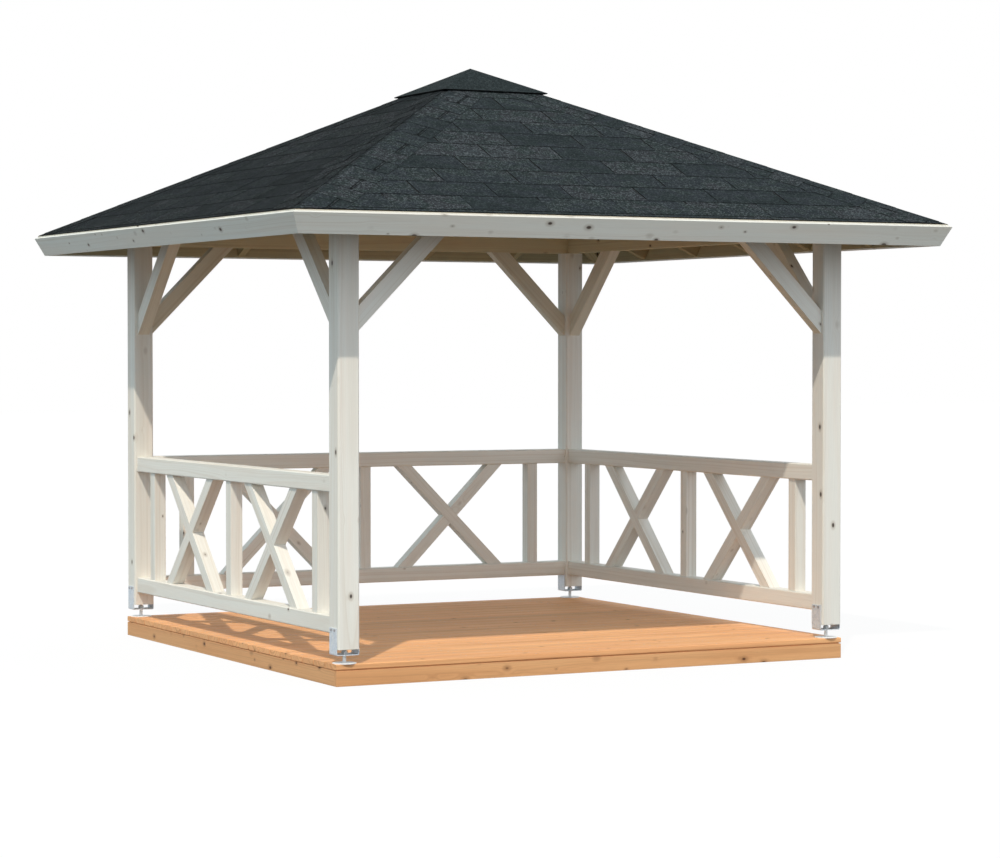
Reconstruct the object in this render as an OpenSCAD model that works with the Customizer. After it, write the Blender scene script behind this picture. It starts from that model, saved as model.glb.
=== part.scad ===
// Square timber garden pavilion on its own deck: four posts, open front, railings on the other
// three sides and a low hipped roof with a small cap. X runs to the right along the open front,
// Y to the back and Z up. The origin is on the ground under the middle of the deck.

/* [Frame] */
// Width over the posts, left to right
frame_w = 3065; // [2400:5:4200]
// Depth over the posts, front to back
frame_d = 3090; // [2400:5:4200]
// Side of the square posts
post_w = 120; // [100:1:150]
// Length of the posts
post_len = 2150; // [1900:5:2700]
// Chamfer along the corners of the posts
post_chamfer = 7; // [1:1:12]
// Height of the ring beams on the posts
beam_h = 170; // [150:1:220]
// Thickness of the ring beams
beam_t = 70; // [50:1:95]

/* [Knee braces] */
// Length of post and of beam that each brace spans
brace_leg = 530; // [350:5:700]
// Width of the braces, seen from the side
brace_w = 90; // [70:1:120]
// Thickness of the braces
brace_t = 70; // [45:1:95]

/* [Railings] */
// Height of the lower rail's underside above the deck
low_rail_gap = 150; // [60:1:250]
// Height of the top rail's upper face above the deck
railing_h = 964; // [800:1:1150]
// Side of the square rails
rail_w = 90; // [70:1:100]
// Side of the square balusters and cross bars
bar_w = 70; // [40:1:80]
// Clear gap between a post and the baluster next to it
baluster_gap = 200; // [60:1:300]
// Chamfer along the corners of the rails
rail_chamfer = 5; // [1:1:10]

/* [Deck] */
// Reach of the deck past the posts at the left and right
deck_side_reach = 7.5; // [-20:0.5:100]
// Reach of the deck past the posts at the front and back; below 0 the posts stand proud
deck_end_reach = -10; // [-20:0.5:100]
// Thickness of the deck boards
deck_board_t = 28; // [20:1:40]
// Height of the joists
joist_h = 85; // [60:1:145]
// Thickness of the joists
joist_t = 45; // [35:1:70]
// Number of joists, an odd number so that one lies in the middle
joist_count = 9; // [7:2:13]
// Thickness of the side boards
side_t = 28; // [18:1:40]
// Shadow gap between the side boards and the deck boards
side_gap = 5; // [2:1:15]

/* [Post anchors] */
// Height of the post's underside above the deck
foot_gap = 75; // [60:1:120]
// Room between the anchor's plate and the post
nut_room = 26; // [24:1:40]
// Thickness of the anchor's plate
plate_t = 5; // [4:1:8]
// Thickness of the ears on the sides of the post
ear_t = 4; // [3:1:8]
// Width of the plate and its ears
ear_w = 90; // [60:1:100]
// Length of ear that laps the post
ear_lap = 110; // [60:1:140]
// Diameter of the threaded stem
stem_d = 20; // [16:1:24]
// Width of the nut over its corners
nut_d = 34; // [28:1:40]
// Height of the nut
nut_h = 16; // [10:1:18]
// Diameter of the foot disc
foot_d = 125; // [90:1:140]
// Thickness of the foot disc
foot_t = 4; // [3:1:8]

/* [Roof] */
// Overhang of the roof past the posts
overhang = 434; // [250:1:600]
// Pitch of the front and back slopes, in degrees
roof_pitch = 25; // [18:1:32]
// Least depth of the seats where the rafters rest on the ring beams
seat_depth = 21; // [15:1:35]
// Reach of the fascia boards below the rafters
fascia_cover = 7; // [0:1:40]
// Thickness of the fascia boards
fascia_t = 20; // [15:1:30]
// Thickness of the roof boards
boarding_t = 18; // [15:1:25]
// Height of the roof boards over the edge of the fascia
boarding_lip = 5; // [0:1:10]
// Depth of the rafters
rafter_h = 95; // [80:1:145]
// Thickness of the rafters
rafter_t = 45; // [35:1:60]
// Distance between rafters
rafter_pitch = 640; // [500:5:700]
// Thickness of the hip rafters
hip_t = 70; // [45:1:74]
// Width of the hub over its flats
hub_w = 180; // [180:1:240]
// Height of the hub in its middle
hub_h = 300; // [200:1:400]
// Thickness of the shingle covering
covering_t = 10; // [6:1:15]
// Set-back of the covering from the edge of the roof boards
covering_set = 2; // [0:1:10]
// Height of the roof cap, from its lower edge to its tip
cap_rise = 150; // [100:1:250]
// Thickness of the roof cap
cap_t = 9; // [4:1:14]

/* [Hidden] */
$fn = 48;

// Sides of the pavilion, as quarter turns from the front
FRONT = 0;
RIGHT = 1;
BACK = 2;
LEFT = 3;
SIDES = [FRONT, RIGHT, BACK, LEFT];
// Corners of the plan, and the corner to the right of each side
CORNERS = [[1, -1], [1, 1], [-1, 1], [-1, -1]];

// Heights from the ground up
deck_top = joist_h + deck_board_t;
post_z = deck_top + foot_gap;
beam_z = post_z + post_len;
beam_top = beam_z + beam_h;
low_rail_z = deck_top + low_rail_gap;
top_rail_z = deck_top + railing_h - rail_w;
infill_z = low_rail_z + rail_w;
infill_h = top_rail_z - infill_z;
anchor_plate_z = post_z - nut_room - plate_t;

deck_w = frame_w + 2 * deck_side_reach;
deck_d = frame_d + 2 * deck_end_reach;

// Roof plan and slopes; all four slopes climb by the same rise to one tip
roof_w = frame_w + 2 * overhang;
roof_d = frame_d + 2 * overhang;
roof_rise = roof_d / 2 * tan(roof_pitch);
roof_half = [roof_w / 2, roof_d / 2];
hip_len = norm(roof_half);
rafter_top = boarding_lip - boarding_t;
rafter_low = rafter_top - rafter_h;
fascia_low = rafter_low - fascia_cover;
covering_top = boarding_lip + covering_t;
// Height of the fascia boards' upper outer edge; every slope's rafters reach down to their seats
eave_z = beam_top - seat_depth - max(seat_rise(FRONT), seat_rise(RIGHT));
// Rafter places on each slope, from the middle to the left and right
rafter_places = [-2, -1, 0, 1, 2];
// Size that reaches past every piece of the roof
reach = roof_w + roof_d;

function is_across(side) = side % 2 == 0;
function roof_run(side) = is_across(side) ? roof_d / 2 : roof_w / 2;
function roof_span(side) = is_across(side) ? roof_w / 2 : roof_d / 2;
function post_line(side) = (is_across(side) ? frame_d : frame_w) / 2 - post_w / 2;
function post_span(side) = (is_across(side) ? frame_w : frame_d) / 2 - post_w / 2;
function clear_half(side) = post_span(side) - post_w / 2;
function baluster_x(side) = clear_half(side) - baluster_gap - bar_w / 2;
function slope_pitch(side) = atan(roof_rise / roof_run(side));
// Climb of the rafters' underside from the eave to the outer face of the ring beam
function seat_rise(side) =
  (overhang + (post_w - beam_t) / 2) * tan(slope_pitch(side)) + rafter_low / cos(slope_pitch(side));

// Helpers

// Turns what is built at the front round to another side
module on_side(side) {
  rotate([0, 0, 90 * side])
    children();
}

module chamfered_square(width, chamfer) {
  half = width / 2;
  flat = half - chamfer;
  polygon([
    [-flat, -half], [flat, -half], [half, -flat], [half, flat],
    [flat, half], [-flat, half], [-half, flat], [-half, -flat]
  ]);
}

// Block in a slope's own frame: s runs up the slope from the fascia's outer edge, n square to it
module slope_block(side, s_low, s_high, n_low, n_high, x_low = -reach, x_high = reach) {
  on_side(side)
    translate([0, -roof_run(side), eave_z])
      rotate([slope_pitch(side), 0, 0])
        translate([x_low, s_low, n_low])
          cube([x_high - x_low, s_high - s_low, n_high - n_low]);
}

// Plan of one slope, between the two hips, carried out past the eave
module slope_sector(side) {
  out = 1.2;
  on_side(side)
    linear_extrude(height = reach)
      polygon([
        [0, 0],
        [-out * roof_span(side), -out * roof_run(side)],
        [out * roof_span(side), -out * roof_run(side)]
      ]);
}

// Layer of the roof over one slope, mitred along the hips
module slope_layer(side, s_low, s_high, n_low, n_high) {
  intersection() {
    slope_sector(side);
    slope_block(side, s_low, s_high, n_low, n_high);
  }
}

// Turns what is built along +X to lie under the hip to one corner
module on_hip(corner) {
  rotate([0, 0, atan2(corner.y * roof_half.y, corner.x * roof_half.x)])
    children();
}

// Deck

module deck_joists() {
  first = -deck_w / 2 + side_t + joist_t / 2;
  step = -2 * first / (joist_count - 1);
  length = deck_d - 2 * side_t;
  color("#c08a55")
    for (i = [0:joist_count - 1])
      translate([first + i * step - joist_t / 2, -length / 2, 0])
        cube([joist_t, length, joist_h]);
}

module deck_boards() {
  color("#d99a63")
    translate([-deck_w / 2, -deck_d / 2, joist_h])
      cube([deck_w, deck_d, deck_board_t]);
}

// Side board; those at the front and back cover the ends of the other two
module deck_side(side) {
  length = is_across(side) ? deck_w : deck_d - 2 * side_t;
  line = (is_across(side) ? deck_d : deck_w) / 2;
  color("#cf925a")
    on_side(side)
      translate([-length / 2, -line, 0])
        cube([length, side_t, joist_h - side_gap]);
}

// Posts and their anchors

module post(corner) {
  color("#dcd8cc")
    translate([corner.x * post_span(FRONT), corner.y * post_line(FRONT), post_z])
      linear_extrude(height = post_len)
        chamfered_square(post_w, post_chamfer);
}

// Ears of one anchor, on the left and right sides of its post
module anchor_ears() {
  for (x = [-post_w / 2 - ear_t, post_w / 2])
    translate([x, -ear_w / 2, anchor_plate_z])
      cube([ear_t, ear_w, plate_t + nut_room + ear_lap]);
}

// Height-adjustable anchor: foot disc, threaded stem with its nut, and a U-shaped plate
module anchor() {
  outer_w = post_w + 2 * ear_t;
  nut_z = anchor_plate_z + plate_t;
  stem_top = nut_z + nut_h + (nut_room - nut_h) / 2;
  translate([0, 0, deck_top])
    cylinder(d = foot_d, h = foot_t);
  translate([0, 0, deck_top])
    cylinder(d = stem_d, h = stem_top - deck_top);
  translate([0, 0, nut_z])
    cylinder(d = nut_d, h = nut_h, $fn = 6);
  translate([-outer_w / 2, -ear_w / 2, anchor_plate_z])
    cube([outer_w, ear_w, plate_t]);
  anchor_ears();
}

// Puts a copy of what is built at the origin under each post
module at_posts() {
  for (corner = CORNERS)
    translate([corner.x * post_span(FRONT), corner.y * post_line(FRONT), 0])
      children();
}

module post_anchors() {
  color("#b9c2c8")
    at_posts()
      anchor();
}

// Railings

// Lower and top rail, notched round the anchors' ears
module rails(side) {
  color("#d6d2c6")
    difference() {
      on_side(side)
        for (z = [low_rail_z, top_rail_z])
          translate([0, -post_line(side), z + rail_w / 2])
            rotate([90, 0, 90])
              linear_extrude(height = 2 * clear_half(side), center = true)
                chamfered_square(rail_w, rail_chamfer);
      at_posts()
        anchor_ears();
    }
}

module balusters(side) {
  color("#d2cfc3")
    on_side(side)
      for (x = [-baluster_x(side), 0, baluster_x(side)])
        translate([x - bar_w / 2, -post_line(side) - bar_w / 2, infill_z])
          cube([bar_w, bar_w, infill_h]);
}

// Two bars at 45 degrees, lapped where they cross and cut level at the rails
module cross() {
  rotate([90, 0, 0])
    linear_extrude(height = bar_w, center = true)
      intersection() {
        square([3 * infill_h, infill_h], center = true);
        union() {
          rotate(45)
            square([3 * infill_h, bar_w], center = true);
          rotate(-45)
            square([3 * infill_h, bar_w], center = true);
        }
      }
}

module crosses(side) {
  color("#cecbbf")
    on_side(side)
      for (x = [-baluster_x(side) / 2, baluster_x(side) / 2])
        translate([x, -post_line(side), infill_z + infill_h / 2])
          cross();
}

// Ring beams and knee braces

// Ring beam, half lapped at its ends: those at the front and back keep their upper half
module beam(side) {
  end_x = post_span(side) + beam_t / 2;
  lap_z = is_across(side) ? beam_z : beam_z + beam_h / 2;
  color("#cfcabb")
    difference() {
      on_side(side)
        translate([-end_x, -post_line(side) - beam_t / 2, beam_z])
          cube([2 * end_x, beam_t, beam_h]);
      for (corner = CORNERS)
        translate([
          corner.x * post_span(FRONT) - beam_t / 2,
          corner.y * post_line(FRONT) - beam_t / 2,
          lap_z
        ])
          cube([beam_t, beam_t, beam_h / 2]);
    }
}

// Space that the ring beams take, for the seats cut in the rafters
module beam_space() {
  for (side = SIDES)
    on_side(side)
      translate([-post_span(side) - beam_t / 2, -post_line(side) - beam_t / 2, beam_z])
        cube([2 * post_span(side) + beam_t, beam_t, beam_h]);
}

module braces(side) {
  inner_leg = brace_leg - brace_w * sqrt(2);
  color("#d0ccbf")
    on_side(side)
      for (turn = [0, 1])
        mirror([turn, 0, 0])
          translate([-clear_half(side), -post_line(side), beam_z])
            rotate([90, 0, 0])
              linear_extrude(height = brace_t, center = true)
                polygon([[0, -brace_leg], [brace_leg, 0], [inner_leg, 0], [0, -inner_leg]]);
}

// Roof

module hub_prism(z_low, z_high) {
  translate([0, 0, z_low])
    rotate([0, 0, 22.5])
      cylinder(d = hub_w / cos(22.5), h = z_high - z_low, $fn = 8);
}

// Everything over the rafters' upper faces
module above_rafters() {
  for (side = SIDES)
    slope_block(side, -reach / 4, reach, rafter_top, reach / 4);
}

// The fascia boards and all that lies outside them
module outside_eaves() {
  for (side = SIDES)
    slope_block(side, -reach / 4, fascia_t, -reach / 4, reach / 4);
}

// Hip rafters from the hub to the corners of the eaves, bevelled on top and seated on the beams
module hip_rafters() {
  top_drop = -rafter_top / cos(roof_pitch);
  low_drop = -rafter_low / cos(roof_pitch);
  color("#c2a67e")
    difference() {
      for (corner = CORNERS)
        on_hip(corner)
          rotate([90, 0, 0])
            linear_extrude(height = hip_t, center = true)
              polygon([
                [0, eave_z + roof_rise], [hip_len, eave_z],
                [hip_len, eave_z - low_drop], [0, eave_z + roof_rise - low_drop]
              ]);
      above_rafters();
      outside_eaves();
      beam_space();
      hub_prism(0, reach);
    }
}

// Common and jack rafters, seated on the beams and cut to the hips and the hub
module rafters() {
  color("#c2a67e")
    difference() {
      for (side = SIDES)
        intersection() {
          slope_sector(side);
          for (place = rafter_places)
            slope_block(
              side, fascia_t, reach, rafter_low, rafter_top,
              place * rafter_pitch - rafter_t / 2, place * rafter_pitch + rafter_t / 2
            );
        }
      for (corner = CORNERS)
        on_hip(corner)
          translate([0, -hip_t / 2, 0])
            cube([2 * hip_len, hip_t, reach]);
      beam_space();
      hub_prism(0, reach);
    }
}

module roof_hub() {
  top_z = eave_z + roof_rise;
  under_z = top_z + rafter_top / cos(roof_pitch);
  color("#c2a67e")
    difference() {
      hub_prism(under_z - hub_h, top_z);
      above_rafters();
    }
}

module boarding(side) {
  color("#cdb48c")
    slope_layer(side, fascia_t, reach, rafter_top, boarding_lip);
}

module fascia(side) {
  color("#dcdacf")
    slope_layer(side, 0, fascia_t, fascia_low, 0);
}

module covering(side) {
  color("#3c4346")
    slope_layer(side, fascia_t + covering_set, reach, boarding_lip, covering_top);
}

// Everything under a plane at height n over all four slopes, from a level line upwards
module under_slopes(line_rise, n_high) {
  intersection_for(side = SIDES)
    slope_block(side, line_rise / sin(slope_pitch(side)), reach, -reach, n_high);
}

// Cap over the tip of the roof, with a level lower edge
module roof_cap() {
  color("#454b50")
    difference() {
      under_slopes(roof_rise - cap_rise, covering_top + cap_t);
      under_slopes(0, covering_top);
    }
}

deck_joists();
deck_boards();
deck_side(FRONT);  // deck_side_front
deck_side(RIGHT);  // deck_side_right
deck_side(BACK);  // deck_side_back
deck_side(LEFT);  // deck_side_left
post_anchors();
post([-1, -1]);  // post_front_left
post([1, -1]);  // post_front_right
post([-1, 1]);  // post_back_left
post([1, 1]);  // post_back_right
rails(RIGHT);  // rails_right
rails(BACK);  // rails_back
rails(LEFT);  // rails_left
balusters(RIGHT);  // balusters_right
balusters(BACK);  // balusters_back
balusters(LEFT);  // balusters_left
crosses(RIGHT);  // crosses_right
crosses(BACK);  // crosses_back
crosses(LEFT);  // crosses_left
beam(FRONT);  // beam_front
beam(RIGHT);  // beam_right
beam(BACK);  // beam_back
beam(LEFT);  // beam_left
braces(FRONT);  // braces_front
braces(RIGHT);  // braces_right
braces(BACK);  // braces_back
braces(LEFT);  // braces_left
hip_rafters();
rafters();
roof_hub();
boarding(FRONT);  // boarding_front
boarding(RIGHT);  // boarding_right
boarding(BACK);  // boarding_back
boarding(LEFT);  // boarding_left
fascia(FRONT);  // fascia_front
fascia(RIGHT);  // fascia_right
fascia(BACK);  // fascia_back
fascia(LEFT);  // fascia_left
covering(FRONT);  // covering_front
covering(RIGHT);  // covering_right
covering(BACK);  // covering_back
covering(LEFT);  // covering_left
roof_cap();
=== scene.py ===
"""Looks of the garden gazebo: timber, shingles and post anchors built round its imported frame."""

import math
import random

import bmesh
import bpy
from mathutils import Matrix, Vector


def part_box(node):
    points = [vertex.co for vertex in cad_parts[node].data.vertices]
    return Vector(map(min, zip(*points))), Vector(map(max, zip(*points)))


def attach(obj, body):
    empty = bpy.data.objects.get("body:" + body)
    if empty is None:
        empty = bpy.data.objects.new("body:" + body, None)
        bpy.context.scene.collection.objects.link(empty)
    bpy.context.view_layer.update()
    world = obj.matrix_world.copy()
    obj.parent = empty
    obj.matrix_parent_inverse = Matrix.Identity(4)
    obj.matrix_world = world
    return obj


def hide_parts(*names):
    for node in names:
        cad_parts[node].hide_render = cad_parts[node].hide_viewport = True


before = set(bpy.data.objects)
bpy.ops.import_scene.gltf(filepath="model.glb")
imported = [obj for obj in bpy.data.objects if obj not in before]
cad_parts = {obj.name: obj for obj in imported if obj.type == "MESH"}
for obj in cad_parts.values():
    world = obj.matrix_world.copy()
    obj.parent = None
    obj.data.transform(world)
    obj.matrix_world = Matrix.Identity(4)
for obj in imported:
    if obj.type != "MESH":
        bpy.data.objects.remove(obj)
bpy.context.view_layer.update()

SIDES = ("front", "right", "back", "left")
RAILED_SIDES = SIDES[1:]
MM = 0.001
SLIVER = 0.02 * MM
MERGE = 0.01 * MM
UP = Vector((0, 0, 1))

# Timber
EDGE_ROUNDING = 1.6 * MM
FINE_ROUNDING = 1 * MM
PITH = (0.02, 0.11)
ROOF_PITH = (0.03, 0.16)
GRAIN_SLIDE = 40.0
LAP_JOINT = 0.4 * MM
DECK_BOARD = 140 * MM
DECK_GAP = 6.5 * MM
DECK_EDGE = 4 * MM
PACKER_SETBACK = 9 * MM
SCREW_RADIUS = 4.2 * MM
SCREW_HEAD = 1.6 * MM
SCREW_PAIR = 84 * MM
SCREW_SUNK = 0.5 * MM
ROOF_BOARD = 121 * MM
ROOF_BOARD_GAP = 0.8 * MM
ROOF_BOARD_CHAMFER = 5 * MM
ROOF_TIP_GAP = 8 * MM
LEAST_ROOF_BOARD = 20 * MM

# Shingles
UNDERLAY_SHEET = 3 * MM
UNDERLAY_GAP = 0.1 * MM
SHINGLE = 2.6 * MM
LIFT = 0.6
COURSE = 188 * MM
HEADLAP = 25 * MM
TAB = 443 * MM
SLOT = 7.5 * MM
EAVE_SETBACK = 2 * MM
UNDERLAY_SETBACK = EAVE_SETBACK + 0.5 * MM
TOP_CUTBACK = 60 * MM
FIRST_PHASE = 0.35
PHASE_STEP = 0.27
FIRST_COURSE = 30 * MM
HIP_COURSE = 180 * MM
HIP_WING = 195 * MM
HIP_SLOTS = (95 * MM, -123 * MM)
HIP_LOW_END = -70 * MM
HIP_ROUNDING = 26 * MM
HIP_CUTBACK = 24 * MM
# Widths of the darkening under each course's butt edge and beside each hip slot: stains with painted shade
# in them
EDGE_STAIN_AND_SHADE = 11 * MM
SLOT_STAIN_AND_SHADE = 9 * MM
# Painted light and shade of each slope, a factor on its minerals' colour: brighter on the front, darkest on
# the left
PAINTED_SLOPE_LIGHT = {"front": 1.12, "right": 1.05, "back": 0.97, "left": 0.62}
CAP_SHEET = 5 * MM
CAP_ROUNDING = 1.2 * MM

# Post anchors
BRACKET_BEND = 9 * MM
BRACKET_ROUNDING = 0.6 * MM
EAR = 4 * MM
EAR_SLACK = 0.1 * MM
PLATE = 5 * MM
STEM_RADIUS = 10 * MM
STEM_END = 5 * MM
STEM_RINGS = 150
THREAD = 2.5 * MM
THREAD_DEPTH = 1.3 * MM
NUT_RADIUS = 17 * MM
NUT = 16 * MM
NUT_CHAMFER = 1.2 * MM
DISC_RADIUS = 62.5 * MM
DISC = 4 * MM
DISC_EDGE = 1 * MM
BOLT_DROP = 11 * MM
BOLT_STEP = 42 * MM
BOLT_RADIUS = 5.5 * MM
BOLT_HEAD = 5 * MM
WASHER = 1.6 * MM

# Light and camera
SUN_FROM = Vector((-0.481, -0.633, 1.0))
SUN_STRENGTH = 2.3
SUN_COLOUR = (1.0, 0.91, 0.79)
SUN_ANGLE = math.radians(1.0)
SKY_STRENGTH = 1.06
SKY_WARM_SIDE = Vector((0.6, -0.8, 0.0))
FLOOR_REACH = 60.0
FLOOR_DROP = 1 * MM
FLOOR_GREY = (0.12, 0.12, 0.12)
FLOOR_GLOW = 1.7
FLOOR_SHARE = 0.55
WHITE = (1, 1, 1)
CAMERA_AT = Vector((-7.604, -15.061, 1.718))
CAMERA_TURN = math.radians(27.371)
CAMERA_TILT = math.radians(-1.559)
CAMERA_LENS = 104.9


# Node trees


class Value:
    """One output of a node, with arithmetic that adds Math nodes."""

    def __init__(self, graph, socket):
        self.graph = graph
        self.socket = socket

    def out(self, name):
        """Another output of the same node."""
        return Value(self.graph, self.socket.node.outputs[name])

    def math(self, operation, *others):
        return self.graph.add("ShaderNodeMath", dict(enumerate((self, *others))), operation=operation)

    def __add__(self, other):
        return self.math("ADD", other)

    __radd__ = __add__

    def __sub__(self, other):
        return self.math("SUBTRACT", other)

    def __rsub__(self, other):
        return self * -1 + other

    def __mul__(self, other):
        return self.math("MULTIPLY", other)

    __rmul__ = __mul__

    def __truediv__(self, other):
        return self.math("DIVIDE", other)

    def __pow__(self, other):
        return self.math("POWER", other)

    def __abs__(self):
        return self.math("ABSOLUTE")

    def floor(self):
        return self.math("FLOOR")

    def fract(self):
        return self.math("FRACT")

    def above(self, level):
        return self.math("GREATER_THAN", level)


class Graph:
    """A node tree that is built node by node; a tuple with outputs in it stands for a vector."""

    def __init__(self, tree):
        self.tree = tree

    def add(self, kind, sockets=None, **settings):
        """Adds a node, first its settings and then its sockets' values or links; gives its first output."""
        node = self.tree.nodes.new(kind)
        for name, value in settings.items():
            if name == "stops":
                set_stops(node.color_ramp, value)
            else:
                setattr(node, name, value)
        self.feed(node, sockets or {})
        return Value(self, next(socket for socket in node.outputs if socket.enabled))

    def feed(self, node, sockets):
        """Gives a node's sockets values or links; a list goes to a socket that takes several links."""
        for name, value in sockets.items():
            socket = find_socket(node.inputs, name)
            for each in value if isinstance(value, list) else [value]:
                if isinstance(each, tuple) and any(isinstance(part, Value) for part in each):
                    each = self.add("ShaderNodeCombineXYZ", dict(zip("XYZ", each)))
                if isinstance(each, Value):
                    self.tree.links.new(each.socket, socket)
                elif socket.type == "RGBA":
                    socket.default_value = (*each, 1)
                else:
                    socket.default_value = each

    def parts(self, vector):
        split = self.add("ShaderNodeSeparateXYZ", {"Vector": vector})
        return [split.out(axis) for axis in "XYZ"]

    def mix(self, factor, a, b):
        """Mixes two colours."""
        return self.add("ShaderNodeMix", {"Factor": factor, "A": a, "B": b}, data_type="RGBA")

    def scaled(self, vector, factor):
        return self.add("ShaderNodeVectorMath", {0: vector, "Scale": factor}, operation="SCALE")

    def span(self, value, low, high, to_low=0.0, to_high=1.0):
        """Maps a value smoothly from one span onto another."""
        limits = {"Value": value, "From Min": low, "From Max": high, "To Min": to_low, "To Max": to_high}
        return self.add("ShaderNodeMapRange", limits, interpolation_type="SMOOTHSTEP")

    def fade(self, value, full, gone):
        """1 up to a level, falling smoothly to 0 at a higher one."""
        return self.span(value, full, gone, 1.0, 0.0)

    def noise(self, vector, scale=1.0, detail=2.0, roughness=0.5):
        settings = {"Vector": vector, "Scale": scale, "Detail": detail, "Roughness": roughness}
        return self.add("ShaderNodeTexNoise", settings)

    def cells(self, vector, scale):
        """The distance from the middle of the nearest cell, and three numbers drawn for that cell."""
        distance = self.add("ShaderNodeTexVoronoi", {"Vector": vector, "Scale": scale})
        return distance, self.parts(distance.out("Color"))

    def attribute(self, name, output="Fac"):
        """What a mesh has stored under a name, as its finish reads it."""
        return self.add("ShaderNodeAttribute", attribute_name=name).out(output)

    def place(self):
        return self.add("ShaderNodeTexCoord").out("Object")


class Shaper(Graph):
    """A Geometry Nodes tree, with the nodes that grown pieces need."""

    def position(self):
        return self.parts(self.add("GeometryNodeInputPosition"))

    def index(self):
        return self.add("GeometryNodeInputIndex")

    def box(self, size, counts=(2, 2, 2)):
        """A box round its own middle, with a number of vertices along each side."""
        vertices = {f"Vertices {axis}": count for axis, count in zip("XYZ", counts)}
        return self.add("GeometryNodeMeshCube", {"Size": size, **vertices})

    def cylinder(self, vertices, radius, depth, rings=1):
        shape = {"Vertices": vertices, "Side Segments": rings, "Radius": radius, "Depth": depth}
        return self.add("GeometryNodeMeshCylinder", shape)

    def grid(self, columns, step_x, rows, step_y):
        """Points in a grid round the middle."""
        size = {"Size X": step_x * (columns - 1), "Size Y": step_y * (rows - 1)}
        return self.add("GeometryNodeMeshGrid", {**size, "Vertices X": columns, "Vertices Y": rows})

    def line(self, count, start, offset):
        return self.add("GeometryNodeMeshLine", {"Count": count, "Start Location": start, "Offset": offset})

    def copies(self, points, piece):
        return self.add("GeometryNodeInstanceOnPoints", {"Points": points, "Instance": piece})

    def row(self, piece, count, step):
        """Copies of a piece in a row along Y, round the middle."""
        start = (0.0, step * (count - 1) * -0.5, 0.0)
        return self.copies(self.line(count, start, (0.0, step, 0.0)), piece)

    def realized(self, geometry):
        return self.add("GeometryNodeRealizeInstances", {"Geometry": geometry})

    def joined(self, parts):
        return self.add("GeometryNodeJoinGeometry", {"Geometry": parts})

    def transformed(self, geometry, **change):
        return self.add("GeometryNodeTransform", {"Geometry": geometry, **change})

    def set_position(self, geometry, position):
        return self.add("GeometryNodeSetPosition", {"Geometry": geometry, "Position": position})

    def boolean(self, operation, meshes):
        return self.add("GeometryNodeMeshBoolean", meshes, operation=operation, solver="MANIFOLD")

    def drawn(self, low, high, seed, data_type="FLOAT"):
        """A number or a vector drawn for each copy or point."""
        limits = {"Min": low, "Max": high, "ID": self.index(), "Seed": seed}
        return self.add("FunctionNodeRandomValue", limits, data_type=data_type)

    def store(self, geometry, name, value, data_type="FLOAT", domain="POINT"):
        stored = {"Geometry": geometry, "Name": name, "Value": value}
        return self.add("GeometryNodeStoreNamedAttribute", stored, data_type=data_type, domain=domain)

    def stored(self, name, data_type="FLOAT"):
        return self.add("GeometryNodeInputNamedAttribute", {"Name": name}, data_type=data_type)


def find_socket(sockets, name):
    if isinstance(name, int):
        return sockets[name]
    return next(socket for socket in sockets if socket.name == name and socket.enabled)


def set_stops(ramp, stops):
    while len(ramp.elements) > 1:
        ramp.elements.remove(ramp.elements[-1])
    for number, (place, colour) in enumerate(stops):
        stop = ramp.elements.new(place) if number else ramp.elements[0]
        stop.position = place
        stop.color = (*colour, 1)


# Finishes


def new_finish(name, gloss=0.5):
    """A material with a Principled shader of a given specular level."""
    material = bpy.data.materials.new(name)
    material.use_nodes = True
    shader = material.node_tree.nodes["Principled BSDF"]
    shader.inputs["Specular IOR Level"].default_value = gloss
    return material, Graph(material.node_tree), shader


def bump(graph, shader, height, distance, strength=1.0):
    settings = {"Height": height, "Distance": distance, "Strength": strength}
    graph.feed(shader, {"Normal": graph.add("ShaderNodeBump", settings)})


def timber_finish(
    name,
    pale,
    blush,
    ring,
    knot,
    knot_size,
    tone_share,
    ring_share=0.5,
    knots_per_metre=8.4,
    fleck_share=1.0,
    gloss=0.5,
):
    """Planed softwood: growth rings cut by every face, fine fibre, knots and a tone for each piece."""
    material, graph, shader = new_finish(name, gloss)
    grain = graph.attribute("grain", "Vector")
    tone = graph.attribute("tone")
    length, across, depth = graph.parts(grain)

    # Knots: balls set in the wood, drawn out along the grain
    distance, (pick, _, _) = graph.cells((length / 1.6, across, depth), knots_per_metre)
    near_knot = distance / ((pick * 0.75 + 0.25) * (knot_size * knots_per_metre))
    knot_core = graph.fade(near_knot, 0.55, 1.05)
    knot_halo = graph.fade(near_knot, 0.9, 2.2)

    # Growth rings round a wandering pith, bent outwards past the knots
    wander = graph.noise((length * 0.55, across * 2, depth * 2), 1.0, 2.0) - 0.5
    bend = graph.span(near_knot, 0.5, 4.0, 0.006, 0.0)
    radius = (across * across + depth * depth) ** 0.5 + wander * 0.05 + bend
    rings = graph.noise((radius * 210, length * 0.25, 0.0), 1.0, 1.5, 0.6)
    years = graph.noise((radius * 75, length * 0.3, 3.0), 1.0, 1.0)
    late_wood = graph.span(rings, 0.5, 0.68) * 0.55 + graph.span(years, 0.45, 0.72) * 0.6
    fibre = graph.noise((length * 7, across * 420, depth * 420), 1.0, 2.0, 0.65)
    cloud = graph.noise((length * 1.1, across * 14, depth * 14), 1.0, 3.0)

    fleck = (fibre - 0.5) * 0.16 + (cloud - 0.5) * 0.12
    shade = tone * tone_share + fleck * fleck_share + 1.0
    body = graph.mix(graph.span(cloud, 0.35, 0.72), pale, blush)
    body = graph.mix(late_wood * ring_share, body, ring)
    halo_colour = tuple((a + 2 * b) / 3 for a, b in zip(knot, ring))
    body = graph.mix(knot_halo * 0.55, body, halo_colour)
    body = graph.mix(knot_core, body, knot)
    roughness = 0.52 + fibre * 0.2 + knot_core * 0.1
    graph.feed(shader, {"Base Color": graph.scaled(body, shade), "Roughness": roughness})
    bump(graph, shader, late_wood * 0.5 + fibre * 0.5 - knot_core * 0.6, 0.35 * MM, 0.7)
    return material


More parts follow.
